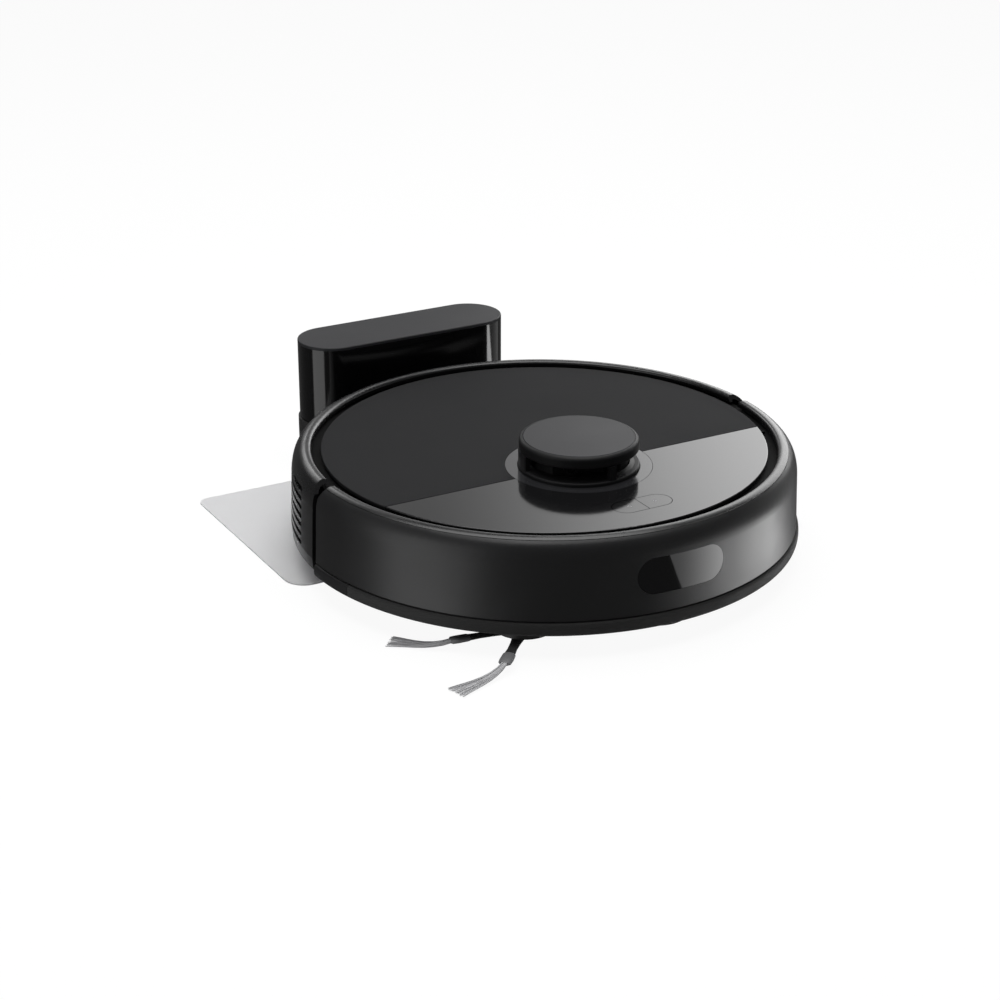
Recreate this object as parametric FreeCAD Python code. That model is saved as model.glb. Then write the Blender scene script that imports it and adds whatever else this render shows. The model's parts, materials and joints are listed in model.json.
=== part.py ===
import FreeCAD, Part
import math
import os

# Robot vacuum parked on its charging dock, in millimetres.
# Origin: on the floor under the centre of the round body.
# +Z is up, -Y is the way the robot drives, +Y points to the dock,
# and the robot's own right side is at -X.

Vec = FreeCAD.Vector
X_AXIS = Vec(1, 0, 0)
Y_AXIS = Vec(0, 1, 0)
Z_AXIS = Vec(0, 0, 1)
FAR = 400.0

# ---------------------------------------------------------------- driving dimensions

BAND_R = 175.0          # widest radius, at the lower edge band
WALL_LOW_R = 173.4      # side wall just above the band
WALL_TOP_R = 172.0      # side wall where the shoulder starts
SHOULDER_Z = 62.0
WALL_T = 2.6
BAND_Z = 15.4           # lower edge of the side band
BAND_TOP_Z = 24.3
RIM_IN_R = 158.3        # inner edge of the rim around the deck
RIM_STEP_R = 165.4      # joint between the glossy rim and the bumper wall
RIM_TOP_Z = 78.3
BELLY_Z = 9.0           # ground clearance
PLATE_T = 2.5           # thickness of moulded floors and plates
FRAME_WALL_R = 165.0    # outer face of the chassis wall, behind the bumper
FRAME_TOP_Z = 69.5      # top of the chassis wall, where the top frame sits

DECK_R = 151.8
DECK_TOP_Z = 76.1
DECK_T = 2.4
DECK_Z = DECK_TOP_Z - DECK_T
SPLIT_Y = -46.3         # front edge of the lid
SPLIT_GAP = 0.8
TRIM_OUT_R = 49.0       # flush trim ring around the tower
TRIM_IN_R = 41.0

TOWER_Y = -45.5
TOWER_R = 39.9
TOWER_FLANGE_R = 40.6
TOWER_DISC_R = 37.2
TOWER_TOP_Z = 96.5
TOWER_CAP_Z = 88.4
# Each pillar: heading in degrees and width; the wide one closes the window's dead side.
TOWER_PILLARS = ((-87.0, 4.6), (3.0, 4.6), (93.0, 4.6), (158.0, 11.0), (171.0, 11.0))
LASER_HEADING = -109.0  # where the laser looks at rest

BUMPER_END_Y = -1.5     # rear ends of the bumper
SHELL_END_Y = 4.0       # front ends of the rear shell
BUMPER_SLOPE = ((BUMPER_END_Y, 70.5), (BUMPER_END_Y - 3.5, 79.5))   # (y, z) of its top ends

WINDOW_W = 64.0
WINDOW_H = 24.3
WINDOW_Z = 50.2

BUTTON_X = 1.0
BUTTON_Y = -121.8
BUTTON_W = 42.0
BUTTON_D = 18.0
BUTTON_GAP = 0.45

HINGE_Y = -44.6
HINGE_Z = DECK_TOP_Z - 1.2
HINGE_PIN_R = 0.7

WHEEL_R = 34.0
WHEEL_X = 112.5         # middle of each drive wheel
WHEEL_W = 15.0
WHEEL_Y = -8.0
ARM_PIVOT_Y = -50.0
ARM_PIVOT_Z = 44.0
ARM_X = 88.0            # inner face of each drive arm
ARM_W = 14.0

CASTER_Y = -141.0
CASTER_R = 13.0
CASTER_TRAIL = 4.0
CASTER_CUP_R = 20.5

SIDE_X = -84.0          # side brush spindle
SIDE_Y = -119.5
SIDE_ARM_ANGLES = (170.0, 226.0)
SIDE_REACH = 86.0

BRUSH_Y = -48.0
BRUSH_Z = 21.0
BRUSH_R = 19.0
BRUSH_CORE_R = 8.0
BRUSH_HALF = 76.0
BRUSH_BAY_R = 21.0

BIN_X0, BIN_X1 = -58.0, 72.0
BIN_Y0, BIN_Y1 = 24.0, 112.0
BIN_Z0, BIN_Z1 = 13.0, 66.0

FAN_X, FAN_Y, FAN_R = -96.0, 66.0, 32.0

LIDAR_MOTOR_X, LIDAR_MOTOR_Y = -52.0, -80.0
LIDAR_WHEEL_R = 33.0
LIDAR_PULLEY_R = 5.0

POSTS = [(x * side, y) for x, y in ((58.0, -123.0), (134.0, -25.0), (132.0, 34.0), (80.0, 110.0))
         for side in (-1, 1)]
POST_R = 4.2
SCREW_R = 1.5
SCREW_HEAD_R = 3.0

DOCK_W = 166.3
DOCK_D = 51.9
DOCK_Y = 214.5
DOCK_TOP_Z = 96.9
DOCK_SEAM_Z = 36.0      # glossy upper shell above, matt body below
DOCK_BODY_MARGIN = 1.2
DOCK_FLOOR_Z = 1.6
PIN_X = 22.0
PIN_Z = 33.0

MAT_HALF_W = 181.4
MAT_FRONT_Y = 17.7
MAT_BACK_Y = 187.4
MAT_T = 1.0

CLEAR = 0.3             # gap between mating mouldings
RUN = 0.05              # radial running clearance of a shaft in its bore


# ---------------------------------------------------------------- building blocks

def box(x0, x1, y0, y1, z0, z1):
    return Part.makeBox(x1 - x0, y1 - y0, z1 - z0, Vec(x0, y0, z0))


def post(x, y, r, z0, z1):
    return Part.makeCylinder(r, z1 - z0, Vec(x, y, z0), Z_AXIS)


def shaft_x(x0, x1, y, z, r):
    return Part.makeCylinder(r, x1 - x0, Vec(x0, y, z), X_AXIS)


def shaft_y(x, y0, y1, z, r):
    return Part.makeCylinder(r, y1 - y0, Vec(x, y0, z), Y_AXIS)


def tube(x, y, r_in, r_out, z0, z1):
    return post(x, y, r_out, z0, z1).cut(post(x, y, r_in, z0 - 1, z1 + 1))


def join(first, *others):
    return first.multiFuse(list(others)).removeSplitter() if others else first


def section(*runs):
    """A closed face in the XZ plane, from runs of (r, z) points: ("line", ...) or ("curve", ...)."""
    edges = []
    start = last = None
    for kind, points in runs:
        corners = [Vec(r, 0, z) for r, z in points]
        if start is None:
            start = corners[0]
        elif (corners[0] - last).Length > 1e-6:
            edges.append(Part.makeLine(last, corners[0]))
        if kind == "curve":
            curve = Part.BSplineCurve()
            curve.interpolate(corners)
            edges.append(curve.toShape())
        else:
            edges += [Part.makeLine(a, b) for a, b in zip(corners, corners[1:])]
        last = corners[-1]
    edges.append(Part.makeLine(last, start))
    return Part.Face(Part.Wire(edges))


def turned(face, x=0.0, y=0.0):
    solid = face.revolve(Vec(0, 0, 0), Z_AXIS, 360)
    solid.translate(Vec(x, y, 0))
    return solid


def rounded_box(x0, x1, y0, y1, z0, z1, r):
    """A box with its four upright edges rounded."""
    body = box(x0, x1, y0, y1, z0, z1)
    upright = [e for e in body.Edges if abs(e.tangentAt(e.FirstParameter).z) > 0.9]
    return body.makeFillet(r, upright)


def stadium(cx, cy, width, depth, z0, z1):
    """An upright prism whose plan is a rectangle with half-round ends along X."""
    r = depth / 2
    half = width / 2 - r
    middle = box(cx - half, cx + half, cy - r, cy + r, z0, z1)
    return join(middle, post(cx - half, cy, r, z0, z1), post(cx + half, cy, r, z0, z1))


def wedge(angle_0, angle_1, z0, z1):
    """A sector of the round body, between two headings in degrees."""
    steps = 6
    rim = [math.radians(angle_0 + (angle_1 - angle_0) * i / steps) for i in range(steps + 1)]
    plan = [Vec(0, 0, z0)] + [Vec(FAR * math.cos(a), FAR * math.sin(a), z0) for a in rim]
    return Part.Face(Part.makePolygon(plan + plan[:1])).extrude(Vec(0, 0, z1 - z0))


def link_face(y0, z0, r0, y1, z1, r1, x):
    """The outline, in the plane at x, of two circles joined by their outer tangents."""
    length = math.hypot(y1 - y0, z1 - z0)
    along = math.atan2(z1 - z0, y1 - y0)
    lean = math.acos((r0 - r1) / length)

    def rim(cy, cz, r, angle):
        return Vec(x, cy + r * math.cos(angle), cz + r * math.sin(angle))

    a0 = rim(y0, z0, r0, along + lean)
    a1 = rim(y1, z1, r1, along + lean)
    b0 = rim(y0, z0, r0, along - lean)
    b1 = rim(y1, z1, r1, along - lean)
    edges = [
        Part.makeLine(a0, a1),
        Part.Arc(a1, rim(y1, z1, r1, along), b1).toShape(),
        Part.makeLine(b1, b0),
        Part.Arc(b0, rim(y0, z0, r0, along + math.pi), a0).toShape(),
    ]
    return Part.Face(Part.Wire(edges))


def link(y0, z0, r0, y1, z1, r1, x0, x1):
    return link_face(y0, z0, r0, y1, z1, r1, x0).extrude(Vec(x1 - x0, 0, 0))


def flat_link(x0, y0, r0, x1, y1, r1, z0, z1):
    """A level plate from z0 to z1 whose plan joins two circles by their outer tangents."""
    plate = link_face(y0, -x0, r0, y1, -x1, r1, 0).extrude(Vec(z1 - z0, 0, 0))
    plate.rotate(Vec(0, 0, 0), Y_AXIS, -90)
    plate.translate(Vec(0, 0, z0))
    return plate


def coil(r, wire_r, length, turns, base, direction):
    """A helical spring that starts at base and runs along direction."""
    helix = Part.makeHelix(length / turns, length, r)
    ring = Part.Wire(Part.makeCircle(wire_r, Vec(r, 0, 0), Y_AXIS))
    spring = Part.Wire(helix.Edges).makePipeShell([ring], True, True)
    spring = Part.Solid(spring) if spring.ShapeType == "Shell" else spring
    spring.Placement = FreeCAD.Placement(base, FreeCAD.Rotation(Z_AXIS, direction))
    return spring


def slot_x(x0, x1, y, z, height, depth):
    """A capsule-shaped cutter in the XZ plane that runs through depth either side of y."""
    r = height / 2
    middle = box(x0 + r, x1 - r, y - depth, y + depth, z - r, z + r)
    ends = [shaft_y(x, y - depth, y + depth, z, r) for x in (x0 + r, x1 - r)]
    return join(middle, *ends)


def at_sides(make):
    """The same piece on the robot's left (+1) and right (-1) side."""
    return [make(side) for side in (1, -1)]


def mirrored_x(shape):
    return shape.mirror(Vec(0, 0, 0), X_AXIS)


def ahead_of(y):
    return box(-FAR, FAR, -FAR, y, -FAR, FAR)


def behind(y):
    return box(-FAR, FAR, y, FAR, -FAR, FAR)


# ---------------------------------------------------------------- round body

SHOULDER = [(WALL_TOP_R, SHOULDER_Z), (171.2, 68.0), (168.9, 73.4), (RIM_STEP_R + 0.2, 76.8)]
SHOULDER_INNER = [(165.8, 73.0), (168.4, 68.0), (WALL_TOP_R - WALL_T, SHOULDER_Z)]
RIM_CREST = [(RIM_STEP_R, 77.1), (161.6, RIM_TOP_Z), (159.2, 77.7), (RIM_IN_R, 76.3)]
BAND_IN_R = 171.6


def chassis():
    tray = turned(section(("line", [
        (0, BELLY_Z), (156, BELLY_Z), (167.4, 14.2), (167.4, 16.8), (FRAME_WALL_R, 16.8),
        (FRAME_WALL_R, 63.5), (162.4, FRAME_TOP_Z), (160.0, FRAME_TOP_Z), (160.0, 66.0),
        (162.6, 62.0), (162.6, 15.2),
        (154.8, BELLY_Z + PLATE_T), (0, BELLY_Z + PLATE_T)])))
    floor_top = BELLY_Z + PLATE_T
    added = [post(x, y, POST_R, floor_top - 0.5, FRAME_TOP_Z) for x, y in POSTS]
    added += [post(x, y, 3.0, floor_top - 0.5, 56.0) for x in (-38, 38) for y in (-134, -98)]
    added.append(post(0, CASTER_Y, CASTER_CUP_R + 2, BELLY_Z, 32.0))
    added.append(post(SIDE_X, SIDE_Y, 20.0, BELLY_Z, 19.0))
    for side in (1, -1):
        inner, outer = sorted((side * 84.0, side * 87.0))
        bracket = link(ARM_PIVOT_Y, ARM_PIVOT_Z, 9.0, ARM_PIVOT_Y, 14.0, 7.5, inner, outer)
        added.append(bracket.common(box(-FAR, FAR, -FAR, FAR, floor_top - 0.5, FAR)))
    body = join(tray, *added)
    cuts = [post(x, y, SCREW_R + RUN, 0, FRAME_TOP_Z + 1) for x, y in POSTS]
    cuts += [post(x, y, SCREW_HEAD_R + 0.2, 0, BELLY_Z + 1.8) for x, y in POSTS]
    cuts.append(post(0, CASTER_Y, CASTER_CUP_R, 0, 29.0))
    cuts.append(post(0, CASTER_Y, 4.0 + RUN, 0, 40.0))
    cuts.append(post(SIDE_X, SIDE_Y, 18.0, 0, 16.8))
    cuts.append(post(SIDE_X, SIDE_Y, 4.0 + RUN, 0, 30.0))
    cuts.append(rounded_box(-86.3, 86.3, -79.3, -16.7, 0, floor_top + 1, 6.3))
    cuts.append(rounded_box(-73, 73, 113, 147, 0, floor_top + 1, 5))
    cuts.append(box(-FAR, -150, 38, 84, 28, 66))
    for side in (1, -1):
        inner, outer = sorted((side * 103.0, side * 122.0))
        cuts.append(rounded_box(inner, outer, -47, 30, 0, floor_top + 1, 4))
        inner, outer = sorted((side * 80.0, side * 90.0))
        cuts.append(shaft_x(inner, outer, ARM_PIVOT_Y, ARM_PIVOT_Z, 4.0 + RUN))
    return body.cut(cuts)


def battery_cover():
    cover = rounded_box(-73 + CLEAR, 73 - CLEAR, 113 + CLEAR, 147 - CLEAR,
                        BELLY_Z, BELLY_Z + PLATE_T, 5 - CLEAR)
    grips = [box(-20, 20, y, y + 1.2, 0, BELLY_Z + 0.8) for y in (138, 141)]
    return cover.cut(grips)


def case_screws():
    screws = []
    for x, y in POSTS:
        socket = post(x, y, 1.3, 0, BELLY_Z + 1.0)
        under = join(post(x, y, SCREW_HEAD_R, BELLY_Z + 0.2, BELLY_Z + 1.8),
                     post(x, y, SCREW_R, BELLY_Z + 1.7, 24.0))
        screws.append(under.cut(socket))
        screws.append(join(post(x, y, SCREW_HEAD_R, 72.0, 73.4), post(x, y, SCREW_R, 58.0, 72.1)))
    return screws


def shell_wall():
    """The full-circle side wall with the glossy rounded rim, before it is cut to the rear half."""
    return turned(section(
        ("line", [(BAND_IN_R - 0.6, 16.8), (172.9, 18.2), (WALL_LOW_R, 26.0)]),
        ("curve", [(WALL_TOP_R, SHOULDER_Z), (171.2, 68.0), (168.7, 74.0), (164.4, 77.7),
                   (161.2, RIM_TOP_Z), (159.1, 77.7), (RIM_IN_R, 76.3)]),
        ("line", [(RIM_IN_R, 74.0), (160.6, 74.0)]),
        ("curve", [(160.8, 75.2), (163.6, 75.0), (166.6, 72.4), (168.6, 67.5),
                   (WALL_TOP_R - WALL_T, SHOULDER_Z)]),
        ("line", [(WALL_LOW_R - WALL_T, 26.0), (170.4, 19.4), (165.8, 19.4), (165.8, 16.8)])))


VENT_COUNT = 7
VENT_PITCH = 6.3
VENT_Z = 28.5
VENT_H = 3.2


def vent_slots():
    """Level exhaust slots on the robot's right side, with round ends."""
    slots = []
    for i in range(VENT_COUNT):
        z = VENT_Z + VENT_PITCH * i
        band = tube(0, 0, 160, 180, z - VENT_H / 2, z + VENT_H / 2)
        sector = band.common(wedge(150.5, 171.0, z - VENT_H, z + VENT_H))
        ends = []
        for heading in (150.5, 171.0):
            a = math.radians(heading)
            out = Vec(math.cos(a), math.sin(a), 0)
            ends.append(Part.makeCylinder(VENT_H / 2, 20, out * 160 + Vec(0, 0, z), out))
        slots.append(join(sector, *ends))
    return slots


def end_slopes(low, high):
    """Cutters on both sides that slope the end of a rim away, from low to high as (y, z)."""
    stop = math.copysign(0.2, low[0] - high[0])
    profile = [Vec(150, low[0] + stop, low[1]), Vec(150, low[0], low[1]),
               Vec(150, *high), Vec(150, low[0] + stop, high[1])]
    slope = Part.Face(Part.makePolygon(profile + profile[:1])).extrude(Vec(30, 0, 0))
    return [slope, mirrored_x(slope)]


def rear_shell():
    wall = shell_wall().common(behind(SHELL_END_Y))
    sleeve = turned(section(("line", [
        (166.0, 17.2), (168.2, 17.2), (168.2, 62.0), (166.8, 68.0), (165.2, 68.0), (166.0, 62.0)])))
    web = turned(section(("line", [
        (166.0, 17.2), (170.9, 17.2), (170.7, 32.0), (169.5, 62.0), (166.0, 62.0)])))
    sleeve = sleeve.common(box(-FAR, FAR, -9.0, SHELL_END_Y + 2.5, 0, FAR))
    web = web.common(box(-FAR, FAR, SHELL_END_Y, SHELL_END_Y + 2.5, 0, FAR))
    ends = end_slopes((SHELL_END_Y, 71.0), (SHELL_END_Y + 6.5, 79.5))
    return join(wall, sleeve, web).cut(vent_slots() + charge_plates() + ends)


def charge_plates():
    ring = tube(0, 0, 171.8, 173.7, 27.0, 39.0)
    return [ring.common(box(x - 7, x + 7, 100, FAR, 0, FAR)) for x in (PIN_X, -PIN_X)]


def window_cutter(margin):
    """The capsule prism through the front wall that the sensor window fills."""
    return slot_x(-WINDOW_W / 2 - margin, WINDOW_W / 2 + margin, -175.0, WINDOW_Z,
                  WINDOW_H + 2 * margin, 25.0)


STRIP_FROM = -166.5
STRIP_TO = -13.5


def band_ring():
    return turned(section(
        ("curve", [(BAND_IN_R + 0.3, BAND_Z), (174.0, 16.0), (BAND_R, 18.6), (BAND_R, 21.6),
                   (174.4, 23.6), (172.9, BAND_TOP_Z)]),
        ("line", [(BAND_IN_R, BAND_TOP_Z), (BAND_IN_R, BAND_Z)])))


def bumper():
    wall = turned(section(
        ("line", [(BAND_IN_R, BAND_TOP_Z), (172.9, BAND_TOP_Z), (WALL_LOW_R, 25.6)]),
        ("curve", SHOULDER),
        ("line", [(RIM_STEP_R + 0.2, 74.6), (160.5, 74.6), (160.5, 73.2)]),
        ("curve", SHOULDER_INNER),
        ("line", [(WALL_LOW_R - WALL_T, 25.6)])))
    band = band_ring().cut(wedge(STRIP_FROM, STRIP_TO, 0, 60))
    groove = tube(0, 0, 172.2, 180, BAND_TOP_Z - 0.1, BAND_TOP_Z + 1.3)
    groove = groove.common(wedge(STRIP_FROM, STRIP_TO, 0, 60))
    body = join(wall, band).common(ahead_of(BUMPER_END_Y))
    return body.cut([groove, window_cutter(0.1)] + end_slopes(*BUMPER_SLOPE))


def bumper_strip():
    return band_ring().common(wedge(STRIP_FROM + 0.1, STRIP_TO - 0.1, 0, 60))


def bumper_rim():
    rim = turned(section(
        ("line", [(RIM_IN_R, 73.4), (160.3, 73.4), (160.3, 74.6), (RIM_STEP_R, 74.6)]),
        ("curve", RIM_CREST)))
    return rim.common(ahead_of(BUMPER_END_Y)).cut(end_slopes(*BUMPER_SLOPE))


def sensor_window():
    pane = turned(section(("line", [
        (WALL_LOW_R - WALL_T, 25.6), (WALL_LOW_R - 0.15, 25.6),
        (WALL_TOP_R - 0.15, SHOULDER_Z + 2), (WALL_TOP_R - WALL_T, SHOULDER_Z + 2)])))
    return pane.common(window_cutter(0.0)).common(ahead_of(-100))


def bumper_springs():
    springs = []
    for x in (-60.0, 60.0):
        start = math.sqrt(FRAME_WALL_R ** 2 - (abs(x) - 3) ** 2) + 0.5
        end = math.sqrt((WALL_LOW_R - WALL_T - 0.4) ** 2 - (abs(x) + 3) ** 2) - 0.8
        springs.append(coil(2.2, 0.35, end - start, 3, Vec(x, -start, 34), -Y_AXIS))
    return springs


# ---------------------------------------------------------------- top

def top_frame():
    plate = post(0, 0, 162.0, FRAME_TOP_Z, 72.0)
    ledge = tube(0, 0, 145.0, 151.0, 71.5, DECK_Z)
    beam = box(-147, 147, -52, -41, 71.5, DECK_Z)
    relief = box(-147, 147, SPLIT_Y - SPLIT_GAP, -30, 72.8, DECK_Z + 1)
    body = join(plate, ledge, beam).cut(relief)
    cuts = [rounded_box(BIN_X0 - 2, BIN_X1 + 2, BIN_Y0 - 2, BIN_Y1 + 2, 60, 80, 6)]
    cuts.append(post(0, TOWER_Y, 45.0, 60, 72.0))
    cuts.append(post(0, TOWER_Y, TRIM_OUT_R + 0.3, 72.0, 80))
    cuts += [post(x, y, SCREW_R + 0.2, 60, 80) for x, y in POSTS]
    cuts += [post(BUTTON_X + dx, BUTTON_Y, 2.4, 60, 80) for dx in (-10, 10)]
    return body.cut(cuts)


def deck_disc():
    edge = 0.7
    return turned(section(
        ("line", [(0, DECK_Z), (DECK_R, DECK_Z)]),
        ("curve", [(DECK_R, DECK_TOP_Z - edge), (DECK_R - edge * 0.3, DECK_TOP_Z - edge * 0.3),
                   (DECK_R - edge, DECK_TOP_Z)]),
        ("line", [(0, DECK_TOP_Z)])))


def front_deck():
    plate = deck_disc().common(ahead_of(SPLIT_Y - SPLIT_GAP))
    keys = stadium(BUTTON_X, BUTTON_Y, BUTTON_W + 2 * BUTTON_GAP, BUTTON_D + 2 * BUTTON_GAP, 60, 90)
    return plate.cut([post(0, TOWER_Y, TRIM_OUT_R + CLEAR, 60, 90), keys])


def button(side):
    """One half of the capsule-shaped key pair, with its stem; side is +1 or -1 along X."""
    cap = stadium(BUTTON_X, BUTTON_Y, BUTTON_W, BUTTON_D, DECK_Z + 0.1, DECK_TOP_Z)
    x0, x1 = sorted((BUTTON_X + side * BUTTON_GAP / 2, BUTTON_X + side * 60))
    half = cap.common(box(x0, x1, -200, 0, 0, 100))
    return join(half, post(BUTTON_X + side * 10, BUTTON_Y, 2.0, 69.0, DECK_Z + 0.5))


def lid():
    plate = deck_disc().common(behind(SPLIT_Y))
    ring = tube(0, 0, 141.0, 143.5, DECK_Z - 1.3, DECK_Z + 0.2).common(behind(-38.0))
    bars = [box(x - 0.8, x + 0.8, 6, 140, DECK_Z - 1.3, DECK_Z + 0.2) for x in (-72, -24, 24, 72)]
    bars = [bar.common(post(0, 0, 142, 0, 100)) for bar in bars]
    body = join(plate, ring, *bars)
    cuts = [post(0, TOWER_Y, TRIM_OUT_R + CLEAR, 60, 90)]
    cuts += at_sides(lambda side: shaft_x(*sorted((side * 40.0, side * 57.0)),
                                          HINGE_Y, HINGE_Z, HINGE_PIN_R))
    return body.cut(cuts)


def lid_pins():
    return at_sides(lambda side: shaft_x(*sorted((side * 45.5, side * 57.0)),
                                         HINGE_Y, HINGE_Z, HINGE_PIN_R))


def trim_ring():
    ring = tube(0, TOWER_Y, TRIM_IN_R, TRIM_OUT_R, DECK_Z, DECK_TOP_Z)
    bores = at_sides(lambda side: shaft_x(*sorted((side * 45.2, side * 57.0)),
                                          HINGE_Y, HINGE_Z, HINGE_PIN_R + RUN))
    return ring.cut(bores)


# ---------------------------------------------------------------- laser tower

def tower_base():
    ring = turned(section(
        ("line", [(34.0, 72.0), (TRIM_OUT_R, 72.0), (TRIM_OUT_R, DECK_Z), (TOWER_FLANGE_R, DECK_Z)]),
        ("curve", [(TOWER_FLANGE_R, 77.6), (40.3, 78.3), (39.6, 78.7)]),
        ("line", [(37.0, 78.7), (34.0, 80.0)])), 0, TOWER_Y)
    parts = []
    for heading, width in TOWER_PILLARS:
        pillar = box(36.6, 40.2, -width / 2, width / 2, 78.0, TOWER_CAP_Z)
        pillar = pillar.common(post(0, 0, 40.3, 0, 100))
        pillar.rotate(Vec(0, 0, 0), Z_AXIS, heading)
        pillar.translate(Vec(0, TOWER_Y, 0))
        parts.append(pillar)
    return join(ring, *parts)


def tower_cap():
    return turned(section(
        ("line", [(0, 92.6), (34.0, 92.6), (35.6, TOWER_CAP_Z), (39.2, TOWER_CAP_Z),
                  (TOWER_R, TOWER_CAP_Z + 0.8)]),
        ("curve", [(TOWER_R, 93.6), (39.5, 95.1), (38.5, 96.0), (TOWER_DISC_R + 0.2, 96.3)]),
        ("line", [(TOWER_DISC_R + 0.2, 94.6), (0, 94.6)])), 0, TOWER_Y)


def tower_disc():
    return turned(section(("line", [
        (0, 94.6), (TOWER_DISC_R, 94.6), (TOWER_DISC_R, TOWER_TOP_Z - 0.3),
        (TOWER_DISC_R - 0.3, TOWER_TOP_Z), (0, TOWER_TOP_Z)])), 0, TOWER_Y)


def laser_head():
    body = join(post(0, TOWER_Y, LIDAR_WHEEL_R, 63.5, 68.5),
                post(0, TOWER_Y, 22.0, 68.0, 74.0),
                post(0, TOWER_Y, 33.0, 73.5, 91.5),
                post(0, TOWER_Y, 6.0, 59.0, 64.0))
    face_y = TOWER_Y - 24.0
    flat = box(-40, 40, -200, face_y, 80.0, 95)
    groove = tube(0, TOWER_Y, LIDAR_WHEEL_R - 1.2, 60, 64.6, 67.4)
    lenses = [shaft_y(x, face_y - 4, face_y + 1, 85.2, r) for x, r in ((-11.0, 5.0), (12.0, 4.0))]
    pupils = [shaft_y(x, face_y - 8, face_y - 2, 85.2, r) for x, r in ((-11.0, 3.6), (12.0, 2.6))]
    head = join(body.cut([flat, groove]), *lenses).cut(pupils)
    head.rotate(Vec(0, TOWER_Y, 0), Z_AXIS, LASER_HEADING + 90)
    return head


def laser_base():
    plate = flat_link(0, TOWER_Y, 43.0, LIDAR_MOTOR_X, LIDAR_MOTOR_Y, 13.0, 59.0, 62.5)
    posts = []
    for heading in (60, 150, 270):
        a = math.radians(heading)
        posts.append(post(40.0 * math.cos(a), TOWER_Y + 40.0 * math.sin(a), 2.6, 62.0, 72.0))
    cuts = [post(0, TOWER_Y, 6.0 + RUN, 50, 70)]
    cuts.append(post(LIDAR_MOTOR_X, LIDAR_MOTOR_Y, 1.6, 50, 70))
    return join(plate, *posts).cut(cuts)


def laser_motor():
    can = post(LIDAR_MOTOR_X, LIDAR_MOTOR_Y, 9.0, 40.0, 59.0)
    return can.cut(post(LIDAR_MOTOR_X, LIDAR_MOTOR_Y, 1.0 + RUN, 48, 70))


def laser_pulley():
    x, y = LIDAR_MOTOR_X, LIDAR_MOTOR_Y
    wheel = post(x, y, LIDAR_PULLEY_R, 63.5, 68.5)
    groove = tube(x, y, LIDAR_PULLEY_R - 0.8, 9, 64.6, 67.4)
    return join(wheel.cut(groove), post(x, y, 1.0, 50.0, 69.0))


def laser_belt():
    """A flat drive belt round the turntable and the motor pulley."""
    gap = 0.35
    r0 = LIDAR_WHEEL_R - 1.2 + gap
    r1 = LIDAR_PULLEY_R - 0.8 + gap
    loops = [flat_link(0, TOWER_Y, r0 + extra, LIDAR_MOTOR_X, LIDAR_MOTOR_Y, r1 + extra, 64.9, 67.1)
             for extra in (1.0, 0.0)]
    return loops[0].cut(loops[1])


# ---------------------------------------------------------------- inside

def main_board():
    board = box(-50, 50, -140, -92, 56.0, 57.6)
    parts = [box(-20, 6, -128, -104, 57.5, 60.0), box(22, 38, -134, -120, 57.5, 59.4),
             box(-46, -30, -126, -112, 57.5, 62.0), box(30, 46, -112, -100, 57.5, 63.0)]
    return join(board, *parts)


def battery():
    return rounded_box(-68, 68, 115.5, 145, 14.5, 51.5, 4)


def dustbin():
    outer = rounded_box(BIN_X0, BIN_X1, BIN_Y0, BIN_Y1, BIN_Z0, BIN_Z1, 6)
    inner = rounded_box(BIN_X0 + 2, BIN_X1 - 2, BIN_Y0 + 2, BIN_Y1 - 2, BIN_Z0 + 2, 90, 4)
    inlet = box(-27, 27, BIN_Y0 - 5, BIN_Y0 + 5, 31, 42)
    outlet = box(BIN_X0 - 5, BIN_X0 + 5, BIN_Y0 + 18, BIN_Y1 - 22, 26, 48)
    return outer.cut([inner, inlet, outlet])


def bin_lid():
    cover = rounded_box(BIN_X0, BIN_X1, BIN_Y0, BIN_Y1, BIN_Z1, BIN_Z1 + 2, 6)
    plug = rounded_box(BIN_X0 + 2.3, BIN_X1 - 2.3, BIN_Y0 + 2.3, BIN_Y1 - 2.3,
                       BIN_Z1 - 2, BIN_Z1 + 0.2, 4)
    grip = rounded_box(-16, 30, 58, 78, BIN_Z1 + 1.8, BIN_Z1 + 6.0, 5)
    hollow = rounded_box(-12, 26, 61, 75, BIN_Z1 + 1.0, BIN_Z1 + 8, 3)
    return join(cover, plug, grip).cut(hollow)


def bin_filter():
    frame = box(BIN_X0 + 2.3, BIN_X0 + 10, BIN_Y0 + 12, BIN_Y1 - 16, 20, 54)
    pleats = [box(BIN_X0 + 7, BIN_X0 + 12, y, y + 1.6, 23, 51) for y in range(40, 90, 4)]
    return frame.cut(pleats)


def fan_housing():
    case = join(post(FAN_X, FAN_Y, FAN_R, 22, 52), box(-161, FAN_X - 20, 46, 78, 26, 50))
    hollow = join(post(FAN_X, FAN_Y, FAN_R - 2, 24, 50), box(-170, FAN_X - 20, 48, 76, 28, 48))
    eye = join(box(FAN_X + 20, FAN_X + 60, FAN_Y - 16, FAN_Y + 16, 28, 46),
               post(FAN_X, FAN_Y, 2.2, 40, 60))
    case = case.common(post(0, 0, 162.0, 0, 100))
    return case.cut([hollow, eye])


def impeller():
    hub = join(post(FAN_X, FAN_Y, 26.0, 26.0, 28.0), post(FAN_X, FAN_Y, 6.0, 27.5, 44.0),
               post(FAN_X, FAN_Y, 2.0, 43.0, 58.0))
    blades = []
    for i in range(9):
        blade = tube(15.0, 0, 13.0, 14.2, 27.5, 40.0)
        blade = blade.common(box(5, 25.5, 0, 40, 0, 100))
        blade.rotate(Vec(0, 0, 0), Z_AXIS, 40 * i)
        blade.translate(Vec(FAN_X, FAN_Y, 0))
        blades.append(blade.common(post(FAN_X, FAN_Y, 25.8, 0, 100)))
    return join(hub, *blades)


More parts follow.
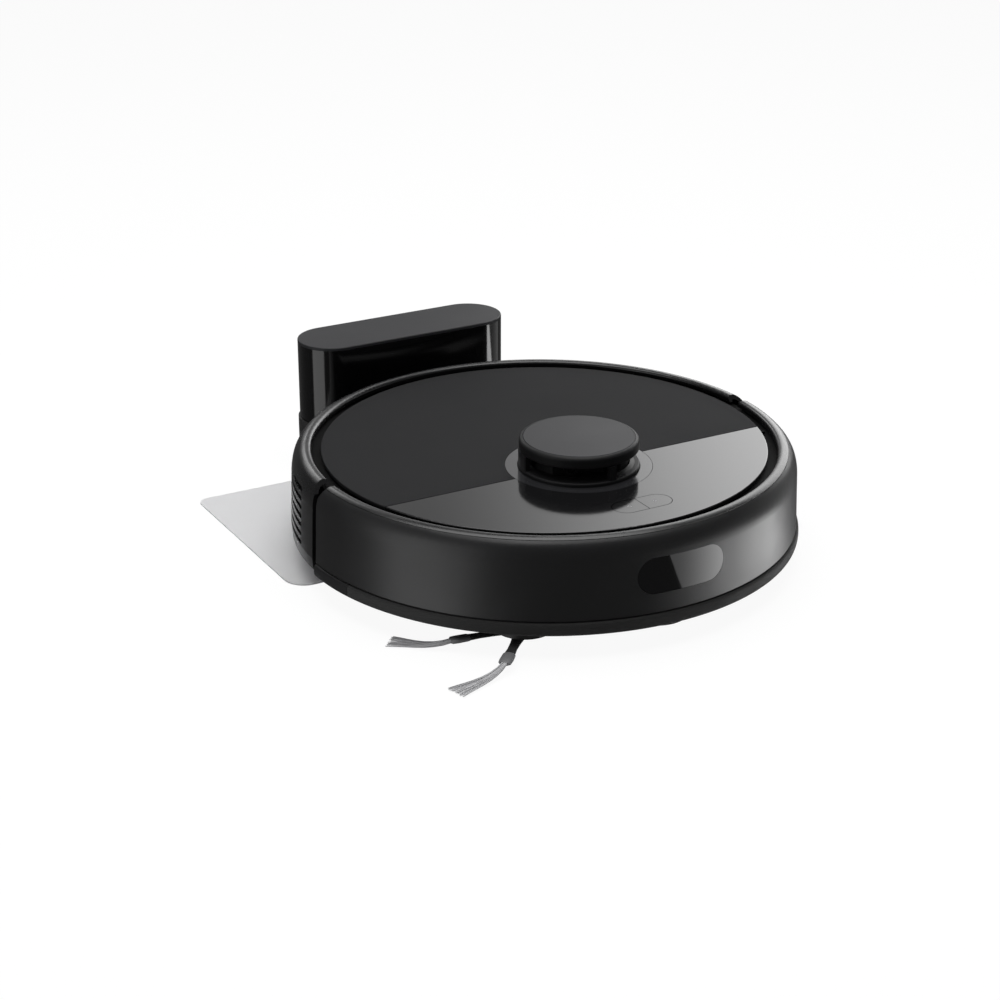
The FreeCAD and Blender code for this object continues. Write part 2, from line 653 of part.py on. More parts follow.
def fan_motor():
    return post(FAN_X, FAN_Y, 15.0, 52.0, 67.0).cut(post(FAN_X, FAN_Y, 2.0 + RUN, 50, 60))


# ---------------------------------------------------------------- drive wheels

def drive_arm(side):
    """The swinging gearbox of one drive wheel, with its pivot stub and axle."""
    inner, outer = ARM_X, ARM_X + ARM_W
    case = link(ARM_PIVOT_Y, ARM_PIVOT_Z, 9.0, WHEEL_Y, WHEEL_R, 11.0, inner, outer)
    motor = shaft_x(inner, outer, -32.0, 50.0, 11.5)
    pivot = shaft_x(84.0, inner + 1, ARM_PIVOT_Y, ARM_PIVOT_Z, 4.0)
    axle = shaft_x(outer - 1, WHEEL_X + WHEEL_W / 2 - 1.5, WHEEL_Y, WHEEL_R, 3.0)
    arm = join(case, motor, pivot, axle)
    return arm if side > 0 else mirrored_x(arm)


def drive_wheel(side):
    """The moulded hub: a dished disc with spoke windows round the axle."""
    x0 = WHEEL_X - WHEEL_W / 2
    x1 = WHEEL_X + WHEEL_W / 2
    hub = shaft_x(x0, x1, WHEEL_Y, WHEEL_R, 26.0)
    dish = shaft_x(x1 - 3, x1 + 1, WHEEL_Y, WHEEL_R, 22.5)
    boss = shaft_x(x1 - 4, x1 - 0.5, WHEEL_Y, WHEEL_R, 6.5)
    body = join(hub.cut(dish), boss)
    cuts = [shaft_x(x0 - 5, x1 - 1.2, WHEEL_Y, WHEEL_R, 3.0 + RUN)]
    for i in range(6):
        pocket = shaft_x(x1 - 7, x1 + 1, WHEEL_Y, WHEEL_R + 14.5, 4.6)
        pocket.rotate(Vec(0, WHEEL_Y, WHEEL_R), X_AXIS, 60 * i)
        cuts.append(pocket)
    body = body.cut(cuts)
    return body if side > 0 else mirrored_x(body)


def drive_tyre(side):
    """The rubber tyre with cross grooves."""
    x0 = WHEEL_X - WHEEL_W / 2 + 0.3
    x1 = WHEEL_X + WHEEL_W / 2 - 0.3
    ring = shaft_x(x0, x1, WHEEL_Y, WHEEL_R, WHEEL_R)
    ring = ring.cut(shaft_x(x0 - 1, x1 + 1, WHEEL_Y, WHEEL_R, 26.0))
    count = 30
    groove = box(x0 - 1, x1 + 1, WHEEL_Y - 1.3, WHEEL_Y + 1.3, 2 * WHEEL_R - 2.2, 2 * WHEEL_R + 2)
    cuts = []
    for i in range(count):
        cut = groove.copy()
        cut.rotate(Vec(0, WHEEL_Y, WHEEL_R), X_AXIS, 360 / count * (i + 0.5))
        cuts.append(cut)
    body = ring.cut(cuts)
    return body if side > 0 else mirrored_x(body)


def drive_springs():
    return [coil(3.4, 0.5, 22.2, 6, Vec(side * (ARM_X + 7), -10.0, 46.4), Z_AXIS)
            for side in (1, -1)]


# ---------------------------------------------------------------- caster

def caster_fork():
    cup = post(0, CASTER_Y, CASTER_CUP_R - CLEAR, 9.5, 28.5)
    slot = box(-6.0, 6.0, CASTER_Y - 13.5, CASTER_Y + 18.2, 0, 27.0)
    spindle = post(0, CASTER_Y, 4.0, 28.0, 36.0)
    axle = shaft_x(-15, 15, CASTER_Y + CASTER_TRAIL, CASTER_R, 1.5)
    return join(cup.cut([slot, axle]), spindle)


def caster_axle():
    return shaft_x(-15, 15, CASTER_Y + CASTER_TRAIL, CASTER_R, 1.5)


def caster_wheel():
    y = CASTER_Y + CASTER_TRAIL
    tyre = shaft_x(-5.4, 5.4, y, CASTER_R, CASTER_R)
    groove = shaft_x(-1.0, 1.0, y, CASTER_R, 20).cut(shaft_x(-2, 2, y, CASTER_R, CASTER_R - 1.2))
    return tyre.cut([groove, shaft_x(-9, 9, y, CASTER_R, 1.5 + RUN)])


# ---------------------------------------------------------------- side brush

def side_point(heading, radius, z):
    a = math.radians(heading)
    return Vec(SIDE_X + radius * math.cos(a), SIDE_Y + radius * math.sin(a), z)


def side_brush():
    """The hub with its two flexible arms, which slope down to the floor."""
    hub = join(post(SIDE_X, SIDE_Y, 12.5, 5.4, 16.0), post(SIDE_X, SIDE_Y, 4.0, 15.5, 22.0))
    arms = []
    for heading in SIDE_ARM_ANGLES:
        sections = []
        for radius, width, low, high in ((8, 9, 5.8, 8.7), (24, 7, 5.6, 8.6),
                                         (38, 7.5, 5.2, 8.5), (49, 9, 4.8, 8.3)):
            centre = side_point(heading, radius, 0)
            a = math.radians(heading)
            across = Vec(-math.sin(a), math.cos(a), 0) * (width / 2)
            corners = [centre + across + Vec(0, 0, low), centre - across + Vec(0, 0, low),
                       centre - across + Vec(0, 0, high), centre + across + Vec(0, 0, high)]
            sections.append(Part.makePolygon(corners + corners[:1]))
        arms.append(Part.makeLoft(sections, True, True))
    screw = post(SIDE_X, SIDE_Y, 2.8, 4.6, 5.8)
    slots = [box(SIDE_X - 2, SIDE_X + 2, SIDE_Y - 0.4, SIDE_Y + 0.4, 4, 5.4),
             box(SIDE_X - 0.4, SIDE_X + 0.4, SIDE_Y - 2, SIDE_Y + 2, 4, 5.4)]
    return join(hub, screw, *arms).cut(slots)


def side_brush_bristles():
    """One fan-shaped tuft for each arm, trailing back and widening to its tip."""
    tufts = []
    for heading in SIDE_ARM_ANGLES:
        sections = []
        for radius, trail, width, low, high in ((49.1, 0, 4.0, 5.2, 7.6), (57, 3, 4.4, 3.0, 5.0),
                                                (66, 9, 7.0, 1.5, 3.0), (76, 14, 10.5, 0.8, 1.8),
                                                (SIDE_REACH, 18, 14.0, 0.5, 1.4)):
            centre = side_point(heading - trail, radius, 0)
            a = math.radians(heading - 2.2 * trail)
            across = Vec(-math.sin(a), math.cos(a), 0) * (width / 2)
            corners = [centre + across + Vec(0, 0, low), centre - across + Vec(0, 0, low),
                       centre - across + Vec(0, 0, high), centre + across + Vec(0, 0, high)]
            sections.append(Part.makePolygon(corners + corners[:1]))
        tufts.append(Part.makeLoft(sections, True, True))
    return tufts


def side_brush_motor():
    motor_x, motor_y = SIDE_X + 18.0, SIDE_Y + 19.5
    gearbox = flat_link(SIDE_X, SIDE_Y, 14.5, motor_x, motor_y, 11.5, 19.1, 34.1)
    motor = post(motor_x, motor_y, 10.0, 33.0, 52.0)
    return join(gearbox, motor).cut(post(SIDE_X, SIDE_Y, 4.0 + RUN, 0, 22.5))


# ---------------------------------------------------------------- main brush

def main_brush():
    return join(shaft_x(-BRUSH_HALF, BRUSH_HALF, BRUSH_Y, BRUSH_Z, BRUSH_CORE_R),
                shaft_x(-79, 79, BRUSH_Y, BRUSH_Z, 3.0))


def brush_fins():
    """Rubber fins in a chevron, wound from both ends towards the middle."""
    fins = []
    count = 6
    twist = 50.0
    steps = 5
    for i in range(count):
        for end in (-1, 1):
            sections = []
            for s in range(steps + 1):
                x = end * (BRUSH_HALF - 1.0) * s / steps
                angle = math.radians(360 / count * i + twist * s / steps)
                out = Vec(0, math.cos(angle), math.sin(angle))
                across = Vec(0, -math.sin(angle), math.cos(angle)) * 0.9
                centre = Vec(x, BRUSH_Y, BRUSH_Z)
                corners = [centre + out * 8.1 + across, centre + out * 8.1 - across,
                           centre + out * BRUSH_R - across, centre + out * BRUSH_R + across]
                sections.append(Part.makePolygon(corners + corners[:1]))
            fins.append(Part.makeLoft(sections, True, True))
    pairs = [join(fins[2 * i], fins[2 * i + 1]) for i in range(count)]
    return pairs


def brush_housing():
    half = 80.0
    above = box(-FAR, FAR, -FAR, FAR, BELLY_Z + PLATE_T + 0.1, FAR)
    outer = shaft_x(-half, half, BRUSH_Y, BRUSH_Z, BRUSH_BAY_R + 2)
    inner = shaft_x(-half + 2.5, half - 2.5, BRUSH_Y, BRUSH_Z, BRUSH_BAY_R)
    duct = box(-30, 30, BRUSH_Y + 6, BIN_Y0 - 0.5, 28.5, 44.5)
    bore = box(-28, 28, BRUSH_Y + 4, BIN_Y0 + 2, 30.5, 42.5)
    body = join(outer, duct).cut([inner, bore])
    body = body.common(above)
    return body.cut(shaft_x(-half - 1, half + 1, BRUSH_Y, BRUSH_Z, 3.0 + RUN))


def brush_drive():
    """The sealed gearbox and motor that turn the main brush."""
    case = link(BRUSH_Y, 26.0, 12.0, -92.0, 30.0, 12.5, 80.2, 83.7)
    return join(case, shaft_x(46.0, 80.5, -92.0, 30.0, 12.0))


def brush_guard():
    frame = rounded_box(-86, 86, -79, -17, BELLY_Z, BELLY_Z + 2.4, 6)
    opening = rounded_box(-76.5, 76.5, -68, -31, 0, 20, 4)
    notches = [box(x - 6, x + 6, -29.0, -18.4, 0, 20) for x in (-60, 60)]
    return frame.cut([opening] + notches)


def guard_latches():
    latches = []
    for x in (-60, 60):
        tab = box(x - 5.7, x + 5.7, -25.4, -18.8, BELLY_Z, BELLY_Z + 2.3)
        grips = [box(x - 4, x + 4, y, y + 0.8, 0, BELLY_Z + 0.6) for y in (-24, -22.2, -20.4)]
        latches.append(tab.cut(grips))
    return latches


# ---------------------------------------------------------------- charging dock

def dock_prism(margin, z0, z1):
    return stadium(0, DOCK_Y, DOCK_W + 2 * margin, DOCK_D + 2 * margin, z0, z1)


def dock_shell():
    wall = 2.5
    shell = dock_prism(0, DOCK_SEAM_Z, DOCK_TOP_Z - 2.2).cut(dock_prism(-wall, 0, 200))
    front = DOCK_Y - DOCK_D / 2
    return shell.cut(box(-38 - RUN, 38 + RUN, front - 1, front + 8, 0, PIN_Z + 8 + RUN))


def dock_top():
    cap = dock_prism(0, DOCK_TOP_Z - 2.2, DOCK_TOP_Z)
    crown = [e for e in cap.Edges if e.BoundBox.ZMin > DOCK_TOP_Z - 0.01]
    return cap.makeFillet(0.9, crown)


def dock_base():
    wall = 2.5
    outer = dock_prism(DOCK_BODY_MARGIN, DOCK_FLOOR_Z + 2.0, DOCK_SEAM_Z)
    inner = dock_prism(DOCK_BODY_MARGIN - wall, 0, DOCK_SEAM_Z - 2.5)
    passage = dock_prism(-8, 0, 200)
    front = DOCK_Y - DOCK_D / 2 - DOCK_BODY_MARGIN
    nose = rounded_box(-38, 38, front - 6.5, front + 3.0, PIN_Z - 9, PIN_Z + 8, 2)
    body = join(outer.cut([inner, passage]), nose)
    cuts = [shaft_y(x, front - 20, front + 9, PIN_Z, 3.5 + RUN) for x in (PIN_X, -PIN_X)]
    cuts.append(box(-34, 34, front + 1.2, front + 9, PIN_Z - 6, PIN_Z + 6))
    cuts.append(box(-14, 14, DOCK_Y + 20, FAR, 14, 32))
    return body.cut(cuts)


def charge_pins():
    """Two sprung charging contacts with domed tips."""
    tip_y = 172.75
    pins = []
    for x in (PIN_X, -PIN_X):
        stem = shaft_y(x, tip_y + 2.0, 189.5, PIN_Z, 3.5)
        dome = Part.makeSphere(4.2, Vec(x, tip_y + 4.2, PIN_Z))
        dome = dome.common(shaft_y(x, tip_y - 1, tip_y + 3.0, PIN_Z, 3.5))
        collar = shaft_y(x, 189.0, 190.4, PIN_Z, 5.0)
        pins.append(join(stem, dome, collar))
    return pins


def mains_inlet():
    """The socket in the dock's back that takes the mains lead."""
    back = DOCK_Y + DOCK_D / 2 + DOCK_BODY_MARGIN
    body = box(-13.8, 13.8, back - 16, back + 0.2, 14.2, 31.8)
    well = slot_x(-9.5, 9.5, back, 23.0, 10.0, 12.0)
    pins = [shaft_y(x, back - 12.5, back - 3.0, 23.0, 1.2) for x in (-5.0, 5.0)]
    return join(body.cut(well), *pins)


def dock_plate():
    plate = dock_prism(DOCK_BODY_MARGIN, DOCK_FLOOR_Z, DOCK_FLOOR_Z + 2.0)
    pegs = [post(x, 192.5, 2.5, 0.2, DOCK_FLOOR_Z + 0.1) for x in (-30, 30)]
    feet = [post(x, y, 6.0 + RUN, 0, DOCK_FLOOR_Z + 0.6) for x, y in FOOT_PLACES]
    return join(plate, *pegs).cut(feet)


FOOT_PLACES = [(x, y) for x in (-62, 62) for y in (200, 229)]


def dock_feet():
    return [post(x, y, 6.0, 0, DOCK_FLOOR_Z + 0.6) for x, y in FOOT_PLACES]


def dock_mat():
    """The thin translucent floor sheet, with a tongue that hooks under the dock."""
    corner, rear_corner = 15.0, 8.0
    sheet = box(-MAT_HALF_W, MAT_HALF_W, MAT_FRONT_Y, MAT_BACK_Y, 0, MAT_T)
    upright = [e for e in sheet.Edges if abs(e.tangentAt(e.FirstParameter).z) > 0.9]
    front = [e for e in upright if e.BoundBox.YMin < 100]
    rear = [e for e in upright if e.BoundBox.YMin > 100]
    sheet = sheet.makeFillet(corner, front)
    upright = [e for e in sheet.Edges if abs(e.tangentAt(e.FirstParameter).z) > 0.9]
    rear = [e for e in upright if e.BoundBox.YMin > MAT_BACK_Y - 0.01]
    sheet = sheet.makeFillet(rear_corner, rear)
    tongue = rounded_box(-45, 45, MAT_BACK_Y - 15, 197.0, 0, MAT_T, 4)
    holes = [post(x, 192.5, 2.5 + RUN, -1, 5) for x in (-30, 30)]
    return join(sheet, tongue).cut(holes)


# ---------------------------------------------------------------- output

NODES = {
    "chassis": chassis, "battery_cover": battery_cover, "case_screws": case_screws,
    "rear_shell": rear_shell, "charge_plates": charge_plates,
    "bumper": bumper, "bumper_rim": bumper_rim, "bumper_strip": bumper_strip,
    "sensor_window": sensor_window, "bumper_springs": bumper_springs,
    "top_frame": top_frame, "front_deck": front_deck, "trim_ring": trim_ring,
    "lid": lid, "lid_pins": lid_pins,
    "tower_base": tower_base, "tower_cap": tower_cap, "tower_disc": tower_disc,
    "laser_head": laser_head, "laser_base": laser_base, "laser_motor": laser_motor,
    "laser_pulley": laser_pulley, "laser_belt": laser_belt,
    "main_board": main_board, "battery": battery,
    "dustbin": dustbin, "bin_lid": bin_lid, "bin_filter": bin_filter,
    "fan_housing": fan_housing, "impeller": impeller, "fan_motor": fan_motor,
    "drive_springs": drive_springs,
    "caster_fork": caster_fork, "caster_axle": caster_axle, "caster_wheel": caster_wheel,
    "side_brush": side_brush, "side_brush_bristles": side_brush_bristles,
    "side_brush_motor": side_brush_motor,
    "main_brush": main_brush, "brush_fins": brush_fins, "brush_housing": brush_housing,
    "brush_drive": brush_drive, "brush_guard": brush_guard, "guard_latches": guard_latches,
    "dock_shell": dock_shell, "dock_top": dock_top, "dock_base": dock_base,
    "dock_plate": dock_plate, "dock_feet": dock_feet, "dock_mat": dock_mat,
    "charge_pins": charge_pins, "mains_inlet": mains_inlet,
}

# Pieces made once for each side: +1 is the robot's left, which lies at +X.
SIDED_NODES = {
    "drive_arm": drive_arm, "wheel": drive_wheel, "tyre": drive_tyre,
}


def write(node, shape):
    """Write one node; a list of separate solids becomes one compound."""
    shape = Part.makeCompound(shape) if isinstance(shape, list) else shape
    shape.exportStep("parts/" + node + ".step")


def main():
    os.makedirs("parts", exist_ok=True)
    for node, make in NODES.items():
        write(node, make())
    for node, make in SIDED_NODES.items():
        write("left_" + node, make(1))
        write("right_" + node, make(-1))
    write("power_button", button(-1))
    write("home_button", button(1))


main()
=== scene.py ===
import json
import math
import random

import bmesh
import bpy
import numpy as np
from bpy.props import FloatProperty, FloatVectorProperty, IntProperty, PointerProperty
from mathutils import Matrix, Vector

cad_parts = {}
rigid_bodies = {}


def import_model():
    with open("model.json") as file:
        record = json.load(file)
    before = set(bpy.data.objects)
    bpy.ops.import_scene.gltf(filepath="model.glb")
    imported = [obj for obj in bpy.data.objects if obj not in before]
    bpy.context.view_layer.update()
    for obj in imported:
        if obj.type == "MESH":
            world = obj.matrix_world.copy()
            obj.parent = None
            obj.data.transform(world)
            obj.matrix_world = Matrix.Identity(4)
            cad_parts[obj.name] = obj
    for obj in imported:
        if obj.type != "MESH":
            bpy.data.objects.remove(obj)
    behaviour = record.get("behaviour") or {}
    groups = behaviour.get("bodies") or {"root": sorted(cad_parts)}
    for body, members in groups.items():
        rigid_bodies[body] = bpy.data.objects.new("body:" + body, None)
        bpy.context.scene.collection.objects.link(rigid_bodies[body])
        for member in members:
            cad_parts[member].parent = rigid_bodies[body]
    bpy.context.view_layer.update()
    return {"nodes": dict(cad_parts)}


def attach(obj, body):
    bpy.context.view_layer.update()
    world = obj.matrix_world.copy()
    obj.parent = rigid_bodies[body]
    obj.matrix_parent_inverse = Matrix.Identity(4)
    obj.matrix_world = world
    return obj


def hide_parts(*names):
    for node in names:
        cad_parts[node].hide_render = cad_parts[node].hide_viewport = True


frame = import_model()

bl_info = {
    "name": "Robot vacuum on its dock",
    "version": (1, 0, 0),
    "blender": (4, 5, 0),
    "location": "View3D > Sidebar > Vacuum",
    "description": "Finishes and soft parts for a robot vacuum, with a studio stage",
    "category": "Object",
}


# ---------------------------------------------------------------- small helpers

def linear(code):
    """The linear colour of an sRGB hex code, with full alpha."""
    parts = [int(code[i:i + 2], 16) / 255 for i in (1, 3, 5)]
    return (*(c / 12.92 if c <= 0.04045 else ((c + 0.055) / 1.055) ** 2.4 for c in parts), 1.0)


def add(tree, kind, sockets=None, **attributes):
    """Adds a node, sets its attributes, and sets each socket or links it to the output given."""
    node = tree.nodes.new(kind)
    for name, value in attributes.items():
        setattr(node, name, value)
    for name, value in (sockets or {}).items():
        if isinstance(value, bpy.types.NodeSocket):
            tree.links.new(value, node.inputs[name])
        else:
            node.inputs[name].default_value = value
    return node


def heading(degrees, reach=1.0):
    """A level vector, reach metres long, at an angle from +X towards +Y."""
    a = math.radians(degrees)
    return Vector((math.cos(a), math.sin(a), 0)) * reach


def new_material(name):
    material = bpy.data.materials.new(name)
    material.use_nodes = True
    material.node_tree.nodes.clear()
    return material, material.node_tree


def piece(name, bm, slot, body, replaced=(), corner=40.0, finish=None):
    """Makes a finished bmesh a piece that rides on a body, with the slot's finish or another."""
    bmesh.ops.recalc_face_normals(bm, faces=bm.faces)
    mesh = bpy.data.meshes.new(name)
    bm.to_mesh(mesh)
    bm.free()
    mesh.shade_smooth()
    mesh.set_sharp_from_angle(angle=math.radians(corner))
    mesh.materials.append(FINISH[finish or slot])
    made = bpy.data.objects.new(name, mesh)
    bpy.context.scene.collection.objects.link(made)
    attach(made, body)
    if replaced:
        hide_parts(*replaced)


def loft(bm, sections, sides):
    """Adds a closed bar through sections, whose X and Y columns are the half width and half height."""
    start = bmesh.ops.create_circle(bm, cap_ends=True, segments=sides, radius=1.0,
                                    matrix=sections[0])
    edges = list({e for v in start["verts"] for e in v.link_edges})
    for before, after in zip(sections, sections[1:]):
        grown = bmesh.ops.extrude_edge_only(bm, edges=edges)["geom"]
        verts = [g for g in grown if isinstance(g, bmesh.types.BMVert)]
        fresh = set(verts)
        edges = [g for g in grown if isinstance(g, bmesh.types.BMEdge) and fresh.issuperset(g.verts)]
        bmesh.ops.transform(bm, matrix=after @ before.inverted(), verts=verts)
    bmesh.ops.edgeloop_fill(bm, edges=edges)


def section(centre, across, half_width, half_height, forward):
    """The placing matrix of one loft section."""
    side = Vector(across).normalized()
    ahead = Vector(forward).normalized()
    up = ahead.cross(side).normalized()
    columns = (side * half_width, up * half_height, ahead, centre)
    return Matrix([[c[i] for c in columns] for i in range(3)] + [[0, 0, 0, 1]])


# ---------------------------------------------------------------- settings

def colour(name, description, code):
    return FloatVectorProperty(name=name, description=description, subtype="COLOR", size=4,
                               min=0.0, max=1.0, default=linear(code))


def size(name, description, default, low, high):
    return FloatProperty(name=name, description=description, subtype="DISTANCE", unit="LENGTH",
                         default=default, min=low, max=high, precision=5)


class VacuumColours(bpy.types.PropertyGroup):
    satin_black: colour("Bumper", "Satin black of the bumper wall", "#1d1d1e")
    gloss_black: colour("Gloss shells", "Piano black of the dock's shell", "#080809")
    tower_satin: colour("Tower", "Satin black of the laser tower", "#1b1b1c")
    gloss_rim: colour("Rims", "Black of the rounded rims", "#111112")
    gloss_deck: colour("Front deck", "Colour under the clear front deck", "#181819")
    charcoal: colour("Lid", "Matt charcoal of the lid", "#282829")
    charcoal_cap: colour("Tower disc", "Satin graphite of the tower and dock tops", "#303032")
    halo: colour("Trim ring", "Ring in the deck round the tower", "#2c2c2e")
    belly_black: colour("Belly", "Coarse black of the underside", "#1c1c1c")
    inner_black: colour("Inner mouldings", "Black of the frames inside", "#0c0c0c")
    soft_black: colour("Rubber", "Tyres, fins and brush arms", "#161616")
    window: colour("Window", "Smoked infrared-pass acrylic", "#0a0a0b")
    bristle_grey: colour("Bristles", "Grey nylon filament", "#d2d2d4")
    smoke: colour("Dustbin", "Smoked clear polycarbonate", "#5f6063")
    paper_white: colour("Filter paper", "Pleated filter paper", "#e6e5e0")
    mat: colour("Floor mat", "Frosted sheet under the robot", "#fbfbfd")
    steel: colour("Steel", "Nickel-plated contacts, screws and springs", "#c9c8c4")
    motor_steel: colour("Motor cans", "Zinc-plated motor cans", "#b4b6b8")
    board: colour("Circuit board", "Green solder mask", "#1d5a33")
    cell_wrap: colour("Battery wrap", "Blue shrink wrap", "#2b3d7a")
    nylon_grey: colour("Nylon", "Grey glass-filled nylon", "#7a7a7c")
    latch: colour("Latches", "Orange acetal latches", "#b8451f")
    foam: colour("Exhaust foam", "Foam behind the vents", "#080808")
    print_grey: colour("Key marks", "Printed marks on the two keys", "#8a8a8c")


class VacuumGrain(bpy.types.PropertyGroup):
    satin: size("Satin grain", "Spacing of the bumper's fine grain", 0.0006, 0.0001, 0.01)
    matt: size("Matt grain", "Spacing of the lid's grain", 0.0007, 0.0001, 0.01)
    coarse: size("Coarse grain", "Spacing of the belly's grain", 0.0013, 0.0001, 0.01)
    foam: size("Foam cells", "Spacing of the holes in the exhaust foam", 0.0012, 0.0002, 0.01)
    ripple: size("Gloss ripple", "Spacing of the faint waves in gloss mouldings", 0.018, 0.001, 0.1)


class BrushSizes(bpy.types.PropertyGroup):
    strands: IntProperty(name="Side strands", description="Filaments in each side tuft",
                         default=64, min=10, max=400)
    strand_radius: size("Strand radius", "Radius of one side filament", 0.00022, 0.00005, 0.001)
    tufts: IntProperty(name="Main tufts", description="Bristle tufts in each row of the main brush",
                       default=30, min=4, max=80)


class StageSizes(bpy.types.PropertyGroup):
    camera: FloatVectorProperty(name="Camera", description="Where the camera stands", size=3,
                                subtype="TRANSLATION", unit="LENGTH",
                                default=(-0.7041, -1.1911, 0.6251))
    lens: FloatProperty(name="Lens", description="Focal length on a 36 mm sensor, in millimetres",
                        default=78.6, min=20.0, max=200.0)
    floor: size("Floor", "Side of the square floor", 12.0, 2.0, 50.0)
    paper: FloatProperty(name="Paper", description="Brightness of the floor and backdrop",
                         default=1.04, min=0.0, max=2.0)


# ---------------------------------------------------------------- finishes

FINISH = {}
CLOUD_SIZE = 0.05    # metres between the slow changes of tone and gloss


def moulded(slot, name, rough, spacing, depth, drift=0.03, tone_drift=0.04, **sockets):
    """A moulded part: its own grain as relief, and slow changes of tone and gloss across it."""
    base = getattr(bpy.context.scene.vacuum_colours, slot)
    darker, lighter = ((*(min(c * (1 + way * tone_drift), 1.0) for c in base[:3]), 1.0)
                       for way in (-1, 1))
    material, tree = new_material(name)
    place = add(tree, "ShaderNodeTexCoord").outputs["Object"]
    cloud = add(tree, "ShaderNodeTexNoise", {"Vector": place, "Scale": 1 / CLOUD_SIZE, "Detail": 3.0})
    gloss = add(tree, "ShaderNodeMapRange", {
        "Value": cloud.outputs["Fac"], "From Min": 0.35, "From Max": 0.65,
        "To Min": max(rough - drift, 0.02), "To Max": rough + drift})
    tone = add(tree, "ShaderNodeMix", {0: cloud.outputs["Fac"], 6: darker, 7: lighter},
               data_type="RGBA")
    grain = add(tree, "ShaderNodeTexNoise", {"Vector": place, "Scale": 1 / spacing, "Detail": 2.0})
    relief = add(tree, "ShaderNodeBump", {
        "Height": grain.outputs["Fac"], "Strength": 1.0, "Distance": depth})
    shader = add(tree, "ShaderNodeBsdfPrincipled", {
        "Base Color": tone.outputs[2], "Roughness": gloss.outputs["Result"],
        "Normal": relief.outputs["Normal"], "IOR": 1.5})
    for socket, value in sockets.items():
        shader.inputs[socket.replace("_", " ")].default_value = value
    add(tree, "ShaderNodeOutputMaterial", {"Surface": shader.outputs["BSDF"]})
    FINISH[slot] = material


